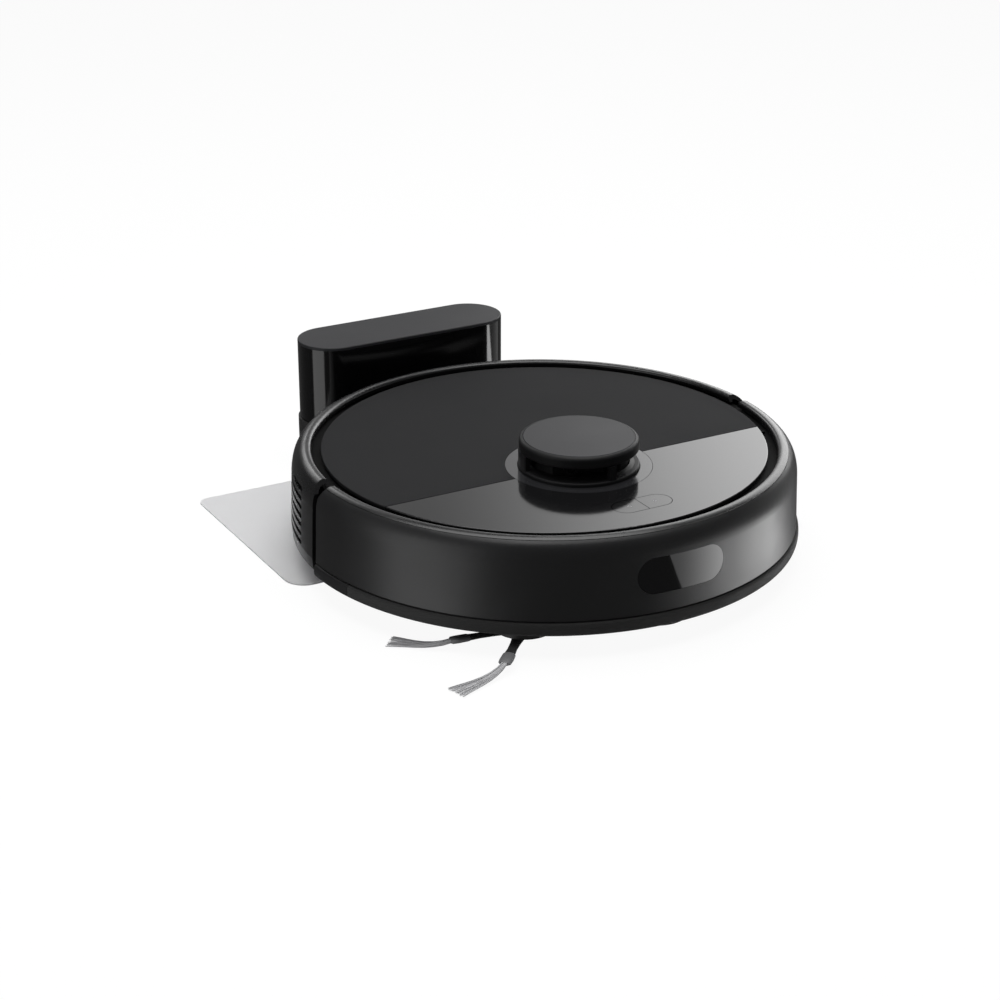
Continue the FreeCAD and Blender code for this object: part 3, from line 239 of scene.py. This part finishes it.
class VACUUM_OT_finishes(bpy.types.Operator):
    """Give every CAD node its finish"""
    bl_idname = "vacuum.finishes"
    bl_label = "Finishes"

    def execute(self, context):
        grain = context.scene.vacuum_grain
        # Spark-eroded ABS: a fine even grain that spreads highlights into a broad soft sheen.
        moulded("satin_black", "ABS spark eroded satin", 0.38, grain.satin, 0.00001,
                Specular_IOR_Level=0.42)
        # The tower has the same grain, a little deeper.
        moulded("tower_satin", "ABS satin tower", 0.5, grain.satin, 0.000012, 0.02,
                Specular_IOR_Level=0.2)
        # High-gloss ABS from a polished mould: sharp reflections with a faint long ripple.
        moulded("gloss_black", "ABS piano black", 0.1, grain.ripple, 0.00001, 0.02)
        # The same ABS, a little less polished where it is handled.
        moulded("gloss_rim", "ABS semi gloss black", 0.28, grain.ripple, 0.00001, 0.02)
        # Clear-coated acrylic over a dark print: mirror-like, with a slightly soft edge.
        moulded("gloss_deck", "Acrylic clear coated", 0.09, grain.ripple, 0.000004, 0.01)
        # Textured ABS: matt, with almost no highlight.
        moulded("charcoal", "ABS fine matt texture", 0.7, grain.matt, 0.000018, 0.01, 0.02,
                Specular_IOR_Level=0.06)
        # Satin paint on ABS: smooth, with a soft highlight.
        moulded("charcoal_cap", "ABS satin painted", 0.45, grain.satin, 0.000008, 0.02,
                Specular_IOR_Level=0.14)
        # Tinted acrylic ring: as glossy as the deck it is set in, and a shade paler.
        moulded("halo", "Acrylic tinted", 0.14, grain.ripple, 0.000003, 0.01)
        # Coarse spark erosion hides scuffs on the underside.
        moulded("belly_black", "ABS coarse texture", 0.6, grain.coarse, 0.00005)
        # Plain polypropylene from an unpolished mould: dull and deep.
        moulded("inner_black", "Polypropylene plain", 0.7, grain.matt, 0.00001,
                Specular_IOR_Level=0.05)
        # Thermoplastic rubber: dull, with a dusty sheen at grazing angles.
        moulded("soft_black", "TPE rubber moulded", 0.78, grain.matt, 0.00002, 0.05,
                Sheen_Weight=0.15, Sheen_Roughness=0.5)
        # Polished acrylic that looks black to the eye and passes infrared.
        moulded("window", "Acrylic infrared pass polished", 0.04, grain.ripple, 0.000002, 0.01)
        # Nylon filament: pale, slightly translucent and glossy along its length.
        moulded("bristle_grey", "Nylon filament drawn", 0.4, grain.satin, 0.000005)
        # Smoked polycarbonate: clear enough to see the dust.
        moulded("smoke", "Polycarbonate smoked", 0.12, grain.ripple, 0.000005, 0.02,
                Transmission_Weight=0.6)
        # Pleated glass-fibre paper.
        moulded("paper_white", "Filter paper pleated", 0.9, grain.matt, 0.00006)
        # Frosted polypropylene sheet: lets the floor's light through, with a dull surface.
        moulded("mat", "Polypropylene frosted sheet", 0.5, grain.coarse, 0.00003, 0.05,
                Transmission_Weight=0.45)
        # Nickel plate over steel.
        moulded("steel", "Steel nickel plated", 0.22, grain.satin, 0.000004, 0.04, Metallic=1.0)
        # Zinc plate: bluish and a little dull.
        moulded("motor_steel", "Steel zinc plated", 0.34, grain.matt, 0.00001, 0.06, Metallic=1.0)
        # Solder mask over copper and glass-fibre laminate.
        moulded("board", "FR4 laminate solder masked", 0.3, grain.coarse, 0.00002)
        # PVC shrink sleeve, tight and shiny.
        moulded("cell_wrap", "PVC shrink sleeve", 0.25, grain.coarse, 0.00003)
        # Glass-filled nylon: fibres leave a dull mottle.
        moulded("nylon_grey", "Nylon glass filled", 0.5, grain.matt, 0.00002)
        # Acetal: waxy and smooth.
        moulded("latch", "Acetal moulded", 0.35, grain.satin, 0.000006)
        # Open-cell foam behind the vents: black, rough and full of small holes.
        moulded("foam", "Polyurethane foam open cell", 0.95, grain.foam, 0.0006,
                Specular_IOR_Level=0.1)
        # Printed marks on the keys.
        moulded("print_grey", "Ink pad printed", 0.5, grain.matt, 0.000002)
        for node in frame["nodes"].values():
            for holder in node.material_slots:
                holder.material = FINISH[holder.material.name.split(".")[0]]
        for node, finish in (("rear_shell", "gloss_rim"), ("bumper_rim", "gloss_rim"),
                             ("top_frame", "inner_black"), ("tower_cap", "tower_satin"),
                             ("tower_base", "tower_satin"), ("laser_head", "tower_satin")):
            frame["nodes"][node].material_slots[0].material = FINISH[finish]
        return {"FINISHED"}


# ---------------------------------------------------------------- side brush

SPINDLE = Vector((-0.084, -0.1195, 0.0))
ARM_HEADINGS = (170.0, 226.0)
# Each tuft: distance from the spindle, degrees it trails, half width, low and high side (m).
TUFT = np.array([(0.0491, 0, 0.0017, 0.0052, 0.0076), (0.057, 3, 0.0026, 0.0030, 0.0050),
                 (0.066, 8, 0.0042, 0.0015, 0.0030), (0.076, 12, 0.0062, 0.0008, 0.0018),
                 (0.086, 15, 0.0084, 0.0005, 0.0014)])
STRAND_ROOT = 0.0485
STRAND_ENDS = (0.0845, 0.086)
STRAND_STEPS = 7
# Each stop along an arm or its clamp: distance from the spindle, half width, half height, and
# height of its middle (m).
ARM_STOPS = ((0.007, 0.0048, 0.0015, 0.0073), (0.014, 0.0042, 0.0015, 0.0072),
             (0.022, 0.0034, 0.0015, 0.0071), (0.030, 0.0031, 0.0015, 0.0070),
             (0.037, 0.0036, 0.0016, 0.0069), (0.040, 0.0038, 0.0016, 0.0068))
CLAMP_STOPS = ((0.0365, 0.0036, 0.0015, 0.0069), (0.0378, 0.0042, 0.00185, 0.0069),
               (0.0440, 0.0045, 0.00185, 0.0067), (0.0482, 0.0042, 0.0018, 0.0066),
               (0.0493, 0.0030, 0.0013, 0.0065))


def tuft_point(arm, reach, side, lift):
    """A point in an arm's tuft: side from -1 to 1 across it, and lift from 0 to 1 up it."""
    trail, half, low, high = (np.polyval(np.polyfit(TUFT[:, 0], TUFT[:, k], 3), reach)
                              for k in range(1, 5))
    across = heading(arm - 2.2 * trail + 90.0)
    point = SPINDLE + heading(arm - trail, reach) + across * (half * side)
    point.z = max(low + (high - low) * lift, 0.0004)
    return point


def strand(bm, arm, side, lift, end, radius):
    """Adds one bent filament, thinner at its tip."""
    stops = [STRAND_ROOT + (end - STRAND_ROOT) * i / STRAND_STEPS
             for i in range(STRAND_STEPS + 1)]
    points = [tuft_point(arm, stop, side, lift) for stop in stops]
    ways = [b - a for a, b in zip(points, points[1:])]
    rings = []
    for i, point in enumerate(points):
        way = ways[min(i, STRAND_STEPS - 1)]
        r = radius * (1.0 if i < STRAND_STEPS else 0.6)
        rings.append(section(point, way.cross(Vector((0, 0, 1))), r, r, way))
    loft(bm, rings, 3)


def bars_along_arms(bm, stops):
    """Adds a rounded bar along each arm, through the stops given."""
    for arm in ARM_HEADINGS:
        out = heading(arm)
        across = heading(arm + 90.0)
        rings = [section(SPINDLE + out * reach + Vector((0, 0, z)), across, wide, tall, out)
                 for reach, wide, tall, z in stops]
        loft(bm, rings, 12)


def post_on_spindle(bm, sides, low_radius, high_radius, low, high):
    """Adds an upright cone or post on the spindle's axis, between two heights."""
    place = Matrix.Translation(SPINDLE + Vector((0, 0, (low + high) / 2)))
    bmesh.ops.create_cone(bm, cap_ends=True, segments=sides, radius1=low_radius,
                          radius2=high_radius, depth=high - low, matrix=place)


class VACUUM_OT_side_brush(bpy.types.Operator):
    """Make the side brush: hub, arms, clamps and tufts"""
    bl_idname = "vacuum.side_brush"
    bl_label = "Side brush"

    def execute(self, context):
        sizes = context.scene.vacuum_brushes
        draw = random.Random(7)
        tufts = bmesh.new()
        for arm in ARM_HEADINGS:
            for _ in range(sizes.strands):
                side, lift = draw.uniform(-1, 1), draw.random()
                end = draw.uniform(*STRAND_ENDS)
                strand(tufts, arm, side * 0.96, lift, end, sizes.strand_radius)
        piece("side_brush_tufts", tufts, "bristle_grey", "side_brush", ["side_brush_bristles"])

        hub = bmesh.new()
        post_on_spindle(hub, 64, 0.0098, 0.0110, 0.0062, 0.0160)
        edges = [e for e in hub.edges if any(len(f.verts) > 8 for f in e.link_faces)]
        bmesh.ops.bevel(hub, geom=edges, offset=0.0008, affect="EDGES", segments=3, profile=0.5,
                        material=-1)
        post_on_spindle(hub, 32, 0.004, 0.004, 0.016, 0.022)
        bars_along_arms(hub, ARM_STOPS)
        piece("side_brush_arms", hub, "soft_black", "side_brush", ["side_brush"])

        clamps = bmesh.new()
        bars_along_arms(clamps, CLAMP_STOPS)
        piece("side_brush_clamps", clamps, "nylon_grey", "side_brush")

        screw = bmesh.new()
        post_on_spindle(screw, 32, 0.0022, 0.0028, 0.00455, 0.00565)
        piece("side_brush_screw", screw, "steel", "side_brush")
        return {"FINISHED"}


# ---------------------------------------------------------------- main brush

BRUSH_AXLE = Vector((0.0, -0.048, 0.021))
FIN_COUNT = 6
FIN_TWIST = 50.0
BRUSH_HALF = 0.075
TUFT_ROOT, TUFT_TIP = 0.0078, 0.0183
TUFT_STRANDS = 9
# Each stop along a strand: distance from the axle and radius (m).
STRAND_STOPS = ((TUFT_ROOT, 0.00022), (0.013, 0.0002), (TUFT_TIP, 0.00012))


class VACUUM_OT_main_brush(bpy.types.Operator):
    """Set rows of bristle tufts between the fins of the main brush"""
    bl_idname = "vacuum.main_brush"
    bl_label = "Main brush bristles"

    def execute(self, context):
        draw = random.Random(11)
        count = context.scene.vacuum_brushes.tufts
        bm = bmesh.new()
        for row in range(0, FIN_COUNT, 2):
            for i in range(count):
                x = BRUSH_HALF * (2 * (i + 0.5) / count - 1)
                turn = math.radians(360 / FIN_COUNT * (row + 0.5) + FIN_TWIST * abs(x) / BRUSH_HALF)
                for _ in range(TUFT_STRANDS):
                    lean = draw.uniform(-0.05, 0.05)
                    shift = draw.uniform(-0.001, 0.001)
                    rings = []
                    for reach, r in STRAND_STOPS:
                        angle = turn + lean * (reach / TUFT_TIP)
                        out = Vector((0, math.cos(angle), math.sin(angle)))
                        spot = BRUSH_AXLE + out * reach + Vector((x + shift * reach / TUFT_TIP, 0, 0))
                        rings.append(section(spot, (1, 0, 0), r, r, out))
                    loft(bm, rings, 3)
        piece("main_brush_tufts", bm, "bristle_grey", "main_brush")
        return {"FINISHED"}


# ---------------------------------------------------------------- small body details

CLIFF_SENSORS = ((0.117, -0.091, -38.0), (-0.117, -0.091, 38.0), (0.044, -0.145, -17.0),
                 (-0.044, -0.145, 17.0))
BELLY_Z = 0.009
FRAME_LOW, LENS_LOW = BELLY_Z - 0.00012, BELLY_Z - 0.00018
VENT_FROM, VENT_TO = 149.0, 172.5
# The foam's outline: distance from the robot's middle, and height (m).
FOAM_OUTLINE = ((0.1682, 0.0262), (0.1719, 0.0262), (0.1710, 0.0600), (0.1690, 0.0685),
                (0.1660, 0.0685))
DECK_TOP = 0.0761
POWER_MARK = Vector((-0.0085, -0.1218, DECK_TOP + 0.00002))
HOME_MARK = POWER_MARK + Vector((0.019, 0, 0))


def stadium(bm, centre, half, radius, low, high, turn):
    """Adds an upright prism with half-round ends."""
    sides = 32
    made = bmesh.ops.create_circle(bm, cap_ends=True, segments=sides, radius=radius,
                                   matrix=Matrix.Rotation(math.pi / sides, 4, "Z"))["verts"]
    for v in made:
        v.co.x += math.copysign(half, v.co.x)
    faces = list({f for v in made for f in v.link_faces})
    grown = bmesh.ops.extrude_face_region(bm, geom=faces)["geom"]
    top = [g for g in grown if isinstance(g, bmesh.types.BMVert)]
    bmesh.ops.translate(bm, vec=(0, 0, high - low), verts=top)
    place = Matrix.Translation((*centre, low)) @ Matrix.Rotation(math.radians(turn), 4, "Z")
    bmesh.ops.transform(bm, matrix=place, verts=made + top)


def round_edges(bm, offset, level):
    """Rounds the edges sharper than 40 degrees that lie wholly at one height."""
    edges = [e for e in bm.edges if e.is_manifold and e.calc_face_angle() > math.radians(40)
             and all(abs(v.co.z - level) < 1e-5 for v in e.verts)]
    bmesh.ops.bevel(bm, geom=edges, offset=offset, affect="EDGES", segments=3, profile=0.5,
                    material=-1)


def cliff_sensors():
    """Four infrared floor sensors, set almost flush in the belly."""
    frames, lenses = bmesh.new(), bmesh.new()
    for x, y, turn in CLIFF_SENSORS:
        stadium(frames, (x, y), 0.0052, 0.0045, FRAME_LOW, BELLY_Z + 0.0006, turn)
        stadium(lenses, (x, y), 0.0048, 0.0034, LENS_LOW, BELLY_Z + 0.0004, turn)
    round_edges(frames, 0.0001, FRAME_LOW)
    round_edges(lenses, 0.0001, LENS_LOW)
    piece("cliff_sensor_frames", frames, "satin_black", "robot")
    piece("cliff_sensor_lenses", lenses, "window", "robot")


def exhaust_foam():
    """A curved strip of foam behind the vents in the rear shell."""
    foam = bmesh.new()
    start = Matrix.Rotation(math.radians(VENT_FROM), 3, "Z")
    ring = [foam.verts.new(start @ Vector((r, 0, z))) for r, z in FOAM_OUTLINE]
    face = foam.faces.new(ring)
    bmesh.ops.spin(foam, geom=[face, *face.edges, *ring], cent=(0, 0, 0), axis=(0, 0, 1),
                   angle=math.radians(VENT_TO - VENT_FROM), steps=24)
    piece("exhaust_foam", foam, "inner_black", "robot", finish="foam")


def power_mark():
    """A ring with a gap at the back, and a short bar that stands in the gap."""
    power = bmesh.new()
    dot = bmesh.ops.create_circle(power, segments=24, radius=0.0013)["verts"]
    bmesh.ops.extrude_edge_only(power, edges=list({e for v in dot for e in v.link_edges}))
    inner = [v for v in power.verts if v not in set(dot)]
    bmesh.ops.scale(power, vec=(0.78, 0.78, 1), verts=inner)
    gap = [f for f in power.faces if f.calc_center_median().y > 0.00095]
    bmesh.ops.delete(power, geom=gap, context="FACES")
    bar = bmesh.ops.create_grid(power, x_segments=1, y_segments=1, size=0.5)["verts"]
    bmesh.ops.scale(power, vec=(0.0003, 0.0014, 1), verts=bar)
    bmesh.ops.translate(power, vec=(0, 0.0008, 0), verts=bar)
    bmesh.ops.translate(power, vec=POWER_MARK, verts=power.verts)
    piece("power_key_mark", power, "halo", "power_button", finish="print_grey")


def home_mark():
    """A small house: a block with a pointed roof."""
    home = bmesh.new()
    walls = bmesh.ops.create_grid(home, x_segments=1, y_segments=1, size=0.5)["verts"]
    bmesh.ops.scale(home, vec=(0.0018, 0.0013, 1), verts=walls)
    bmesh.ops.translate(home, vec=(0, -0.0005, 0), verts=walls)
    roof = bmesh.ops.create_circle(home, cap_ends=True, segments=3, radius=0.0016)["verts"]
    bmesh.ops.scale(home, vec=(1.0, 0.55, 1), verts=roof)
    bmesh.ops.translate(home, vec=(0, 0.0006, 0), verts=roof)
    bmesh.ops.translate(home, vec=HOME_MARK, verts=home.verts)
    piece("home_key_mark", home, "halo", "home_button", finish="print_grey")


class VACUUM_OT_details(bpy.types.Operator):
    """Add the cliff sensor windows, the exhaust foam and the marks on the keys"""
    bl_idname = "vacuum.details"
    bl_label = "Small details"

    def execute(self, context):
        cliff_sensors()
        exhaust_foam()
        power_mark()
        home_mark()
        return {"FINISHED"}


# ---------------------------------------------------------------- stage

GLOW_SHARE = 0.9     # of the floor's light to the camera comes from its own glow
ROOM_LIGHT = 0.12
CAMERA_RIGHT = Vector((0.8719, -0.4897, 0.0011))
CAMERA_UP = Vector((0.1918, 0.3435, 0.9194))


def card(name, centre, width, height, strengths, blend=None, lean=0.0, aim=(0, 0.05)):
    """A glowing card seen only in reflections; its light changes along blend, metres across it."""
    bm = bmesh.new()
    bmesh.ops.create_grid(bm, x_segments=1, y_segments=1, size=0.5)
    centre = Vector(centre)
    facing = Vector((*aim, 0.0)) - centre
    facing.z = 0.0
    turn = facing.to_track_quat("Z", "Y").to_matrix().to_4x4()
    bmesh.ops.scale(bm, vec=(width, height, 1.0), verts=bm.verts)
    for v in bm.verts:
        v.co.x += lean * v.co.y
    mesh = bpy.data.meshes.new(name)
    bm.to_mesh(mesh)
    bm.free()
    made = bpy.data.objects.new(name, mesh)
    low, high = blend or (-width / 2, width / 2)
    made.matrix_world = Matrix.Translation(centre) @ turn
    bpy.context.scene.collection.objects.link(made)
    material, tree = new_material(name)
    place = add(tree, "ShaderNodeTexCoord").outputs["Object"]
    split = add(tree, "ShaderNodeSeparateXYZ", {"Vector": place})
    glow = add(tree, "ShaderNodeMapRange", {
        "Value": split.outputs["X"], "From Min": low, "From Max": high,
        "To Min": strengths[0], "To Max": strengths[1]}, interpolation_type="SMOOTHSTEP")
    light = add(tree, "ShaderNodeEmission", {"Strength": glow.outputs["Result"]})
    add(tree, "ShaderNodeOutputMaterial", {"Surface": light.outputs["Emission"]})
    material.cycles.emission_sampling = "NONE"
    mesh.materials.append(material)
    made.visible_camera = False
    made.visible_shadow = False
    made.visible_diffuse = False


def softbox(name, place, aim, across, tall, power):
    """A rectangular studio light that faces a point."""
    light = bpy.data.lights.new(name, "AREA")
    light.shape = "RECTANGLE"
    light.size, light.size_y = across, tall
    light.energy = power
    lamp = bpy.data.objects.new(name, light)
    lamp.location = place
    lamp.rotation_euler = (Vector(aim) - Vector(place)).to_track_quat("-Z", "Y").to_euler()
    bpy.context.scene.collection.objects.link(lamp)


def paper_floor(scene, stage):
    """A level sheet of white paper that also glows, so that it stays white to the camera."""
    bm = bmesh.new()
    bmesh.ops.create_grid(bm, x_segments=1, y_segments=1, size=stage.floor / 2)
    bmesh.ops.translate(bm, vec=(0, 0, -0.0003), verts=bm.verts)
    mesh = bpy.data.meshes.new("floor")
    bm.to_mesh(mesh)
    bm.free()
    floor = bpy.data.objects.new("floor", mesh)
    scene.collection.objects.link(floor)
    floor.visible_glossy = False
    material, tree = new_material("Studio paper matt white")
    path = add(tree, "ShaderNodeLightPath").outputs
    seen = add(tree, "ShaderNodeMath", {
        0: path["Is Camera Ray"], 1: path["Is Transmission Ray"]}, operation="MAXIMUM")
    share = add(tree, "ShaderNodeMath", {0: seen.outputs[0], 1: GLOW_SHARE},
                operation="MULTIPLY")
    paper = add(tree, "ShaderNodeBsdfDiffuse", {"Color": linear("#f4f4f4")})
    glow = add(tree, "ShaderNodeEmission", {"Strength": stage.paper})
    mixed = add(tree, "ShaderNodeMixShader", {
        0: share.outputs[0], 1: paper.outputs["BSDF"], 2: glow.outputs["Emission"]})
    add(tree, "ShaderNodeOutputMaterial", {"Surface": mixed.outputs["Shader"]})
    mesh.materials.append(material)


def studio_world(scene, stage):
    """A backdrop that is as bright as the paper to the camera, and dim to everything else."""
    world = bpy.data.worlds.new("Studio")
    world.use_nodes = True
    tree = world.node_tree
    tree.nodes.clear()
    seen = add(tree, "ShaderNodeLightPath").outputs["Is Camera Ray"]
    level = add(tree, "ShaderNodeMapRange", {
        "Value": seen, "To Min": ROOM_LIGHT, "To Max": stage.paper})
    back = add(tree, "ShaderNodeBackground", {"Strength": level.outputs["Result"]})
    add(tree, "ShaderNodeOutputWorld", {"Surface": back.outputs["Background"]})
    scene.world = world


def studio_camera(scene, stage):
    """The camera, turned so that its own right and up lie along two given directions."""
    camera = bpy.data.objects.new("camera", bpy.data.cameras.new("camera"))
    back = CAMERA_RIGHT.cross(CAMERA_UP)
    turn = Matrix((CAMERA_RIGHT, CAMERA_UP, back)).transposed().to_4x4()
    camera.matrix_world = Matrix.Translation(stage.camera) @ turn
    camera.data.lens = stage.lens
    camera.data.sensor_width = 36.0
    camera.data.clip_start, camera.data.clip_end = 0.01, 50.0
    scene.collection.objects.link(camera)
    scene.camera = camera


class VACUUM_OT_stage(bpy.types.Operator):
    """Set up the pale floor, the studio light and the camera"""
    bl_idname = "vacuum.stage"
    bl_label = "Stage"

    def execute(self, context):
        scene = context.scene
        scene.view_settings.view_transform = "Standard"
        paper_floor(scene, scene.vacuum_stage)
        studio_world(scene, scene.vacuum_stage)

        softbox("top_box", (0.0, 0.1, 1.7), (0, 0, 0), 1.6, 1.6, 28.0)
        card("left_card", heading(-172, 1.5) + Vector((0, 0, -0.5)), 1.1, 2.4, (1.7, 1.7))
        card("left_high_card", heading(178, 1.5) + Vector((0, 0, 0.95)), 1.4, 0.9, (0.55, 0.55))
        card("window_card", Vector((0.311, -0.281, -0.08)), 0.47, 0.10, (6.0, 1.2),
             (-0.013, 0.247), 2.2, (0.076, -0.081))
        card("right_card", heading(-8, 1.5) + Vector((0, 0, -0.5)), 1.4, 2.4, (0.6, 0.3))
        card("rim_card", heading(97, 2.0) + Vector((0, 0, 1.2)), 1.5, 0.9, (0.0, 3.4))
        card("back_card", heading(52, 2.0) + Vector((0, 0, 0.95)), 2.6, 1.5, (0.5, 3.7), (-0.5, 0.35))

        studio_camera(scene, scene.vacuum_stage)
        return {"FINISHED"}


# ---------------------------------------------------------------- panel and start

class VACUUM_PT_panel(bpy.types.Panel):
    """Lists the steps that finish the robot vacuum"""
    bl_idname = "VACUUM_PT_panel"
    bl_label = "Robot vacuum"
    bl_space_type = "VIEW_3D"
    bl_region_type = "UI"
    bl_category = "Vacuum"

    def draw(self, context):
        for step in STEPS:
            self.layout.operator(step.bl_idname)


SETTINGS = {"vacuum_colours": VacuumColours, "vacuum_grain": VacuumGrain,
            "vacuum_brushes": BrushSizes, "vacuum_stage": StageSizes}
STEPS = (VACUUM_OT_finishes, VACUUM_OT_side_brush, VACUUM_OT_main_brush, VACUUM_OT_details,
         VACUUM_OT_stage)


def register():
    for group in (*SETTINGS.values(), *STEPS, VACUUM_PT_panel):
        bpy.utils.register_class(group)
    for name, group in SETTINGS.items():
        setattr(bpy.types.Scene, name, PointerProperty(type=group))


def unregister():
    for name in SETTINGS:
        delattr(bpy.types.Scene, name)
    for group in (VACUUM_PT_panel, *reversed(STEPS), *SETTINGS.values()):
        bpy.utils.unregister_class(group)


def main():
    for thing in list(bpy.data.objects):
        if thing.name in ("Cube", "Light", "Camera"):
            bpy.data.objects.remove(thing)
    register()
    for step in STEPS:
        group, name = step.bl_idname.split(".")
        getattr(getattr(bpy.ops, group), name)()


if __name__ == "__main__":
    main()
